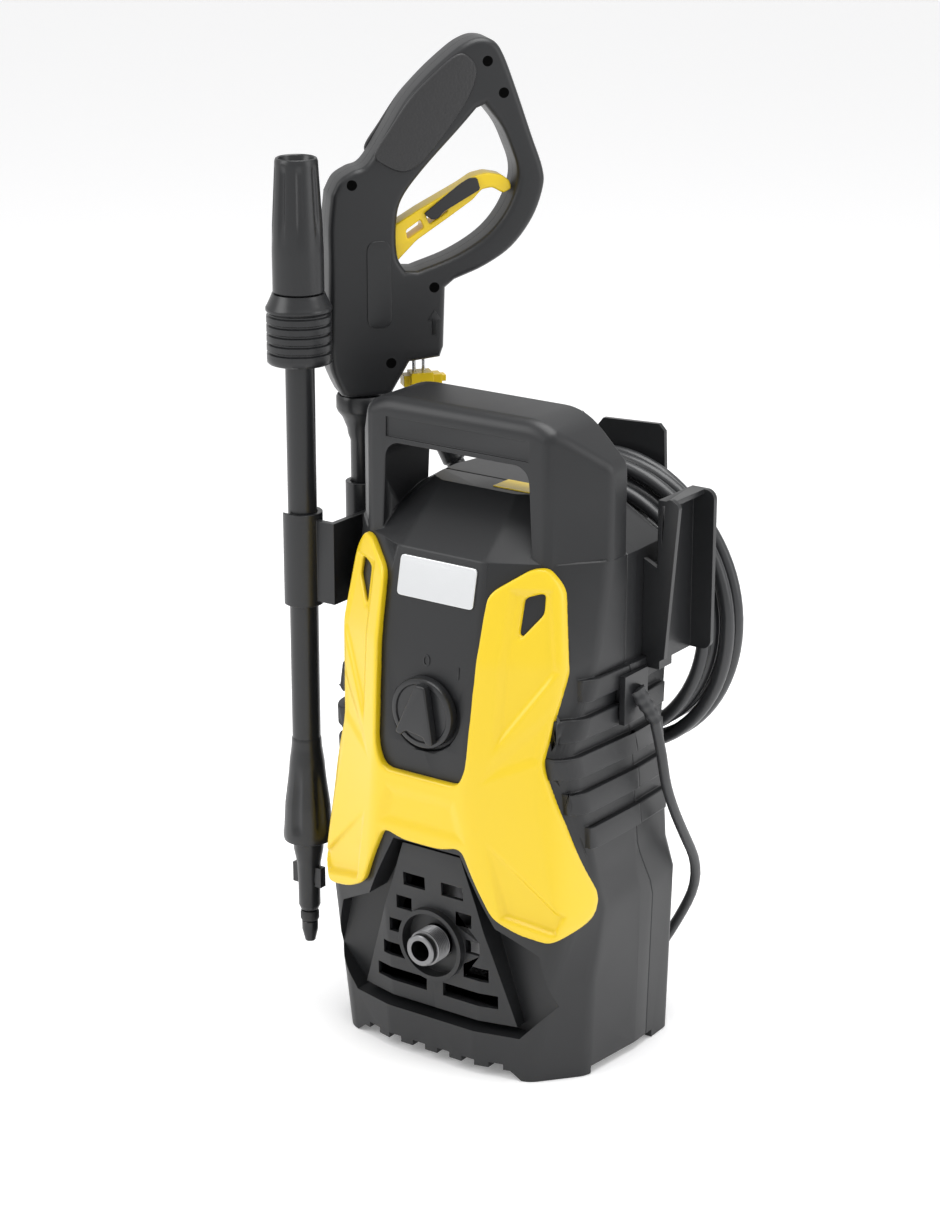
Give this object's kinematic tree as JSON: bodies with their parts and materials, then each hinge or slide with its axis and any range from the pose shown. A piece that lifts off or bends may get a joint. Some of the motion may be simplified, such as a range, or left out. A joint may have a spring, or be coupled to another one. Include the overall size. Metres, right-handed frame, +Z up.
{
  "type": "pressure washer",
  "caption": "Upright electric pressure washer with carrying handle, hourglass front trim, rotary switch, coiled hose, and a spray gun and lance in a side holder.",
  "frame": {"origin": "on the floor under the middle of the base", "axes": "+Z up, front towards -Y, +X to the viewer's right"},
  "size_m": [0.2548, 0.254, 0.595],
  "materials": {
    "dark_shell": "fine satin moulded plastic",
    "yellow_plastic": "smooth semi-gloss moulded plastic",
    "soft_grip": "pebbled soft plastic",
    "black_inner": "plain moulded plastic",
    "brushed_plate": "fine horizontal brush",
    "zinc_metal": "machined dark metal",
    "pump_metal": "cast",
    "steel": "bright",
    "motor_core": "laminated",
    "graphite": "pressed carbon",
    "cord_rubber": "smooth black jacket",
    "hose_rubber": "smooth satin hose"
  },
  "bodies": {
    "housing": {"front_shell": "dark_shell", "rear_shell": "dark_shell", "handle_cover": "dark_shell", "shell_screws": "steel", "front_trim": "yellow_plastic", "name_plate": "brushed_plate", "top_label": "yellow_plastic", "rotary_switch": "black_inner", "pressure_outlet": "zinc_metal", "cable_hook": "dark_shell", "accessory_holder": "dark_shell", "hose_saddle": "dark_shell", "cord_gland": "dark_shell", "water_inlet": "black_inner", "inlet_strainer": "dark_shell", "strain_relief": "soft_grip", "cord_coil": "cord_rubber", "power_cord": "cord_rubber", "mains_plug": "cord_rubber", "hose_coil": "hose_rubber", "hose_ends": "hose_rubber", "hose_tail": "hose_rubber", "motor_stator": "motor_core", "motor_bracket": "black_inner", "motor_end_cap": "black_inner", "pump_head": "pump_metal", "pump_housing": "pump_metal", "pump_cradle": "steel", "pressure_switch": "black_inner", "shaft_bearings": "steel", "carbon_brushes": "graphite", "pistons": "steel", "piston_springs": "steel", "piston_seals": "soft_grip", "pump_feet": "soft_grip"},
    "rotor": {"motor_shaft": "steel", "armature": "motor_core", "cooling_fan": "black_inner", "swash_plate": "steel"},
    "knob": {"switch_knob": "dark_shell"},
    "lance": {"lance_tube": "dark_shell", "lance_collar": "dark_shell", "nozzle_insert": "pump_metal", "lance_coupling": "dark_shell", "bayonet": "dark_shell", "lance_o_ring": "soft_grip"},
    "nozzle": {"nozzle_sleeve": "dark_shell"},
    "gun": {"gun_shell_near": "dark_shell", "gun_shell_far": "dark_shell", "grip_insert": "soft_grip", "trigger_pin": "steel", "trigger_spring": "steel", "gun_valve": "pump_metal", "gun_coupling": "dark_shell", "gun_screws": "steel"},
    "trigger": {"trigger": "yellow_plastic"},
    "trigger_lock": {"trigger_lock": "black_inner"},
    "valve_rod": {"valve_rod": "steel"},
    "hose_clip": {"hose_clip": "yellow_plastic", "clip_rods": "steel"}
  },
  "joints": [
    {"name": "motor_spin", "type": "hinge", "parent": "housing", "child": "rotor", "pos_m": [0, 0.008, 0.2], "axis": [0, 0, 1], "continuous": true},
    {"name": "knob_turn", "type": "hinge", "parent": "housing", "child": "knob", "pos_m": [0, -0.066, 0.226], "axis": [0, 1, 0], "range_deg": [0, 60]},
    {"name": "lance_out", "type": "slide", "parent": "housing", "child": "lance", "axis": [-1, 0, 0], "range_m": [0, 0.06]},
    {"name": "nozzle_turn", "type": "hinge", "parent": "lance", "child": "nozzle", "pos_m": [-0.119, -0.025, 0.48], "axis": [0, 0, 1], "range_deg": [0, 90]},
    {"name": "gun_lift", "type": "slide", "parent": "housing", "child": "gun", "axis": [0, 0, 1], "range_m": [0, 0.12]},
    {"name": "trigger_pull", "type": "hinge", "parent": "gun", "child": "trigger", "pos_m": [-0.10207, 0.03952, 0.468], "axis": [0.766, -0.6428, 0], "range_deg": [0, 12], "stiffness_Nm_per_rad": 0.6, "springref_deg": -17.19},
    {"name": "lock_slide", "type": "slide", "parent": "trigger", "child": "trigger_lock", "axis": [0.566, 0.6745, 0.4741], "range_m": [0, 0.005]},
    {"name": "valve_push", "type": "slide", "parent": "gun", "child": "valve_rod", "axis": [0, 0, -1], "range_m": [0, 0.0038]},
    {"name": "clip_slide", "type": "slide", "parent": "gun", "child": "hose_clip", "axis": [0, 0, 1], "range_m": [0, 0.006]}
  ],
  "couplings": [
    {"joint": "valve_push", "follows": "trigger_pull", "m_per_rad": 0.01719}
  ]
}
